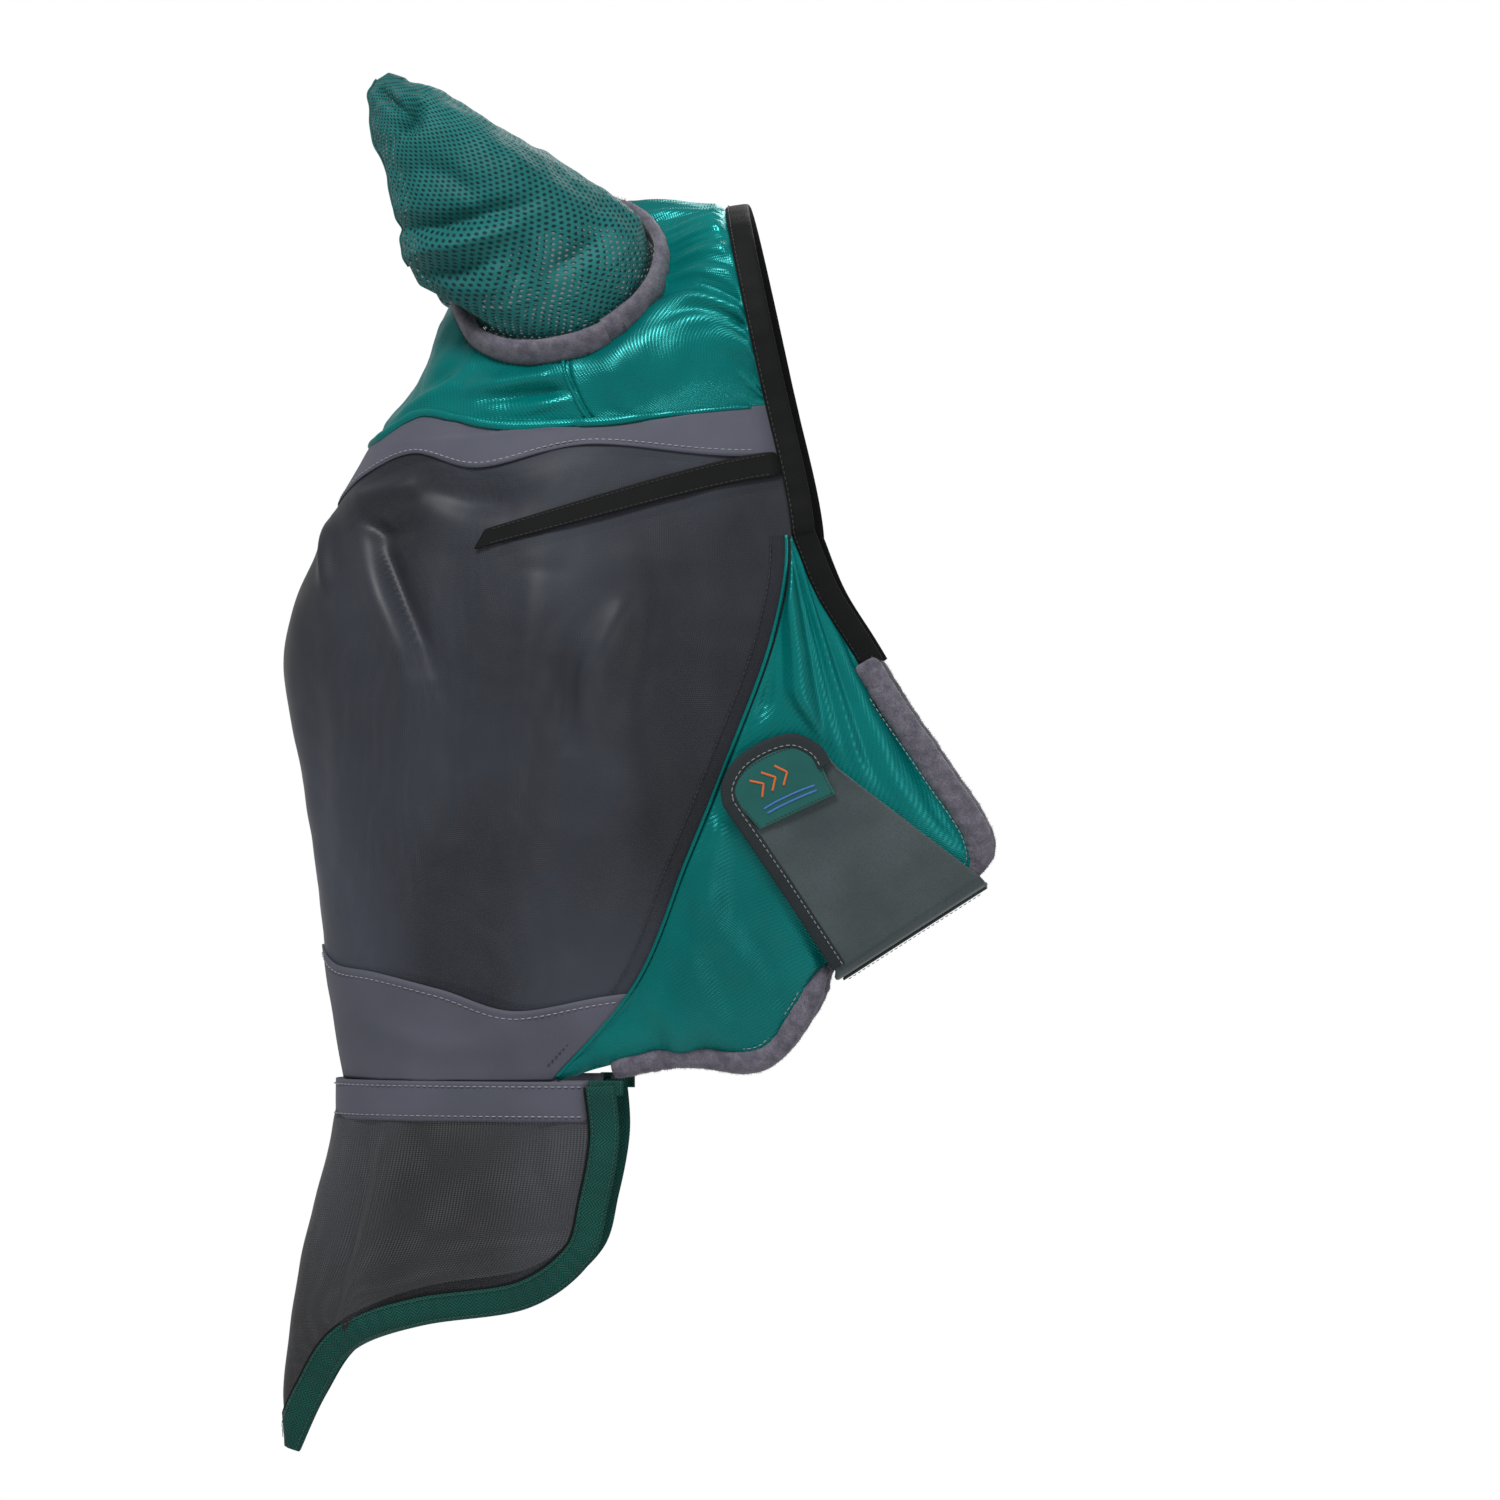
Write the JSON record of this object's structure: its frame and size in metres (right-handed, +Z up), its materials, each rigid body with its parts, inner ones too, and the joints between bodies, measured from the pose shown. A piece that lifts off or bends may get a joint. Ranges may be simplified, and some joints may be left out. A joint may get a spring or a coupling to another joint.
{
  "type": "horse fly mask",
  "caption": "Teal and grey horse fly mask with mesh eye panels, mesh ear covers, fleece edges, a touch-close jaw strap and a detachable mesh nose piece.",
  "frame": {"origin": "on the middle plane just under the poll, where the horse's head carries the mask", "axes": "+Z up, the face looks along -X, the horse's left side is -Y"},
  "size_m": [0.3974, 0.2134, 0.75],
  "materials": {
    "stretch_satin": "satin stretch knit with a soft sheen",
    "grey_band": "flat woven tape",
    "fine_mesh": "fine see-through mesh",
    "mesh_hem": "doubled fine mesh",
    "black_tape": "folded matt tape",
    "fleece": "short fluffy pile",
    "touch_loop": "brushed loop pile",
    "touch_hook": "rows of moulded hooks",
    "strap_cloth": "brushed loop cloth",
    "strap_edge": "folded woven binding",
    "label": "flat coated patch with a stitched edge",
    "green_webbing": "herringbone webbing",
    "ear_mesh": "soft six-sided mesh"
  },
  "bodies": {
    "mask": {"crown_panel": "stretch_satin", "poll_panel": "stretch_satin", "brow_band": "grey_band", "eye_mesh": "fine_mesh", "nose_band": "grey_band", "nose_hem": "grey_band", "cheek_panel_left": "stretch_satin", "cheek_panel_right": "stretch_satin", "eye_dart_left": "black_tape", "eye_dart_right": "black_tape", "seam_tape_left": "mesh_hem", "seam_tape_right": "mesh_hem", "poll_binding": "black_tape", "ear_cuff_left": "fleece", "ear_cuff_right": "fleece", "throat_fleece_left": "fleece", "throat_fleece_right": "fleece", "jaw_fleece_left": "fleece", "jaw_fleece_right": "fleece", "loop_patch": "touch_loop", "nose_loop_tape": "touch_loop", "strap_root": "strap_cloth", "strap_root_fold": "strap_cloth"},
    "strap_span": {"strap_span": "strap_cloth", "strap_fold": "strap_cloth"},
    "strap_tab": {"strap_tab": "strap_cloth", "hook_pad": "touch_hook", "label_patch": "label", "strap_edging": "strap_edge"},
    "nose_piece": {"nose_piece_band": "grey_band", "nose_hook_tape": "touch_hook", "nose_mesh": "fine_mesh", "hem_webbing_left": "green_webbing", "hem_webbing_right": "green_webbing", "webbing_tab_left": "green_webbing", "webbing_tab_right": "green_webbing"},
    "ear_left": {"ear_cover_left": "ear_mesh"},
    "ear_right": {"ear_cover_right": "ear_mesh"}
  },
  "joints": [
    {"name": "strap_swing", "type": "hinge", "parent": "mask", "child": "strap_span", "pos_m": [0.1165, 0.067, -0.384], "axis": [0.8415, 0, 0.5402], "range_deg": [0, 100]},
    {"name": "strap_peel", "type": "hinge", "parent": "strap_span", "child": "strap_tab", "pos_m": [0.1165, -0.067, -0.384], "axis": [0.8415, 0, 0.5402], "range_deg": [0, 150]},
    {"name": "nose_release", "type": "slide", "parent": "mask", "child": "nose_piece", "axis": [0, 0, -1], "range_m": [0, 0.12]},
    {"name": "ear_turn_left", "type": "hinge", "parent": "mask", "child": "ear_left", "pos_m": [-0.073, -0.046, -0.032], "axis": [-0.2703, -0.6808, 0.6808], "range_deg": [-25, 25]},
    {"name": "ear_turn_right", "type": "hinge", "parent": "mask", "child": "ear_right", "pos_m": [-0.073, 0.046, -0.032], "axis": [-0.2703, 0.6808, 0.6808], "range_deg": [-25, 25]}
  ]
}
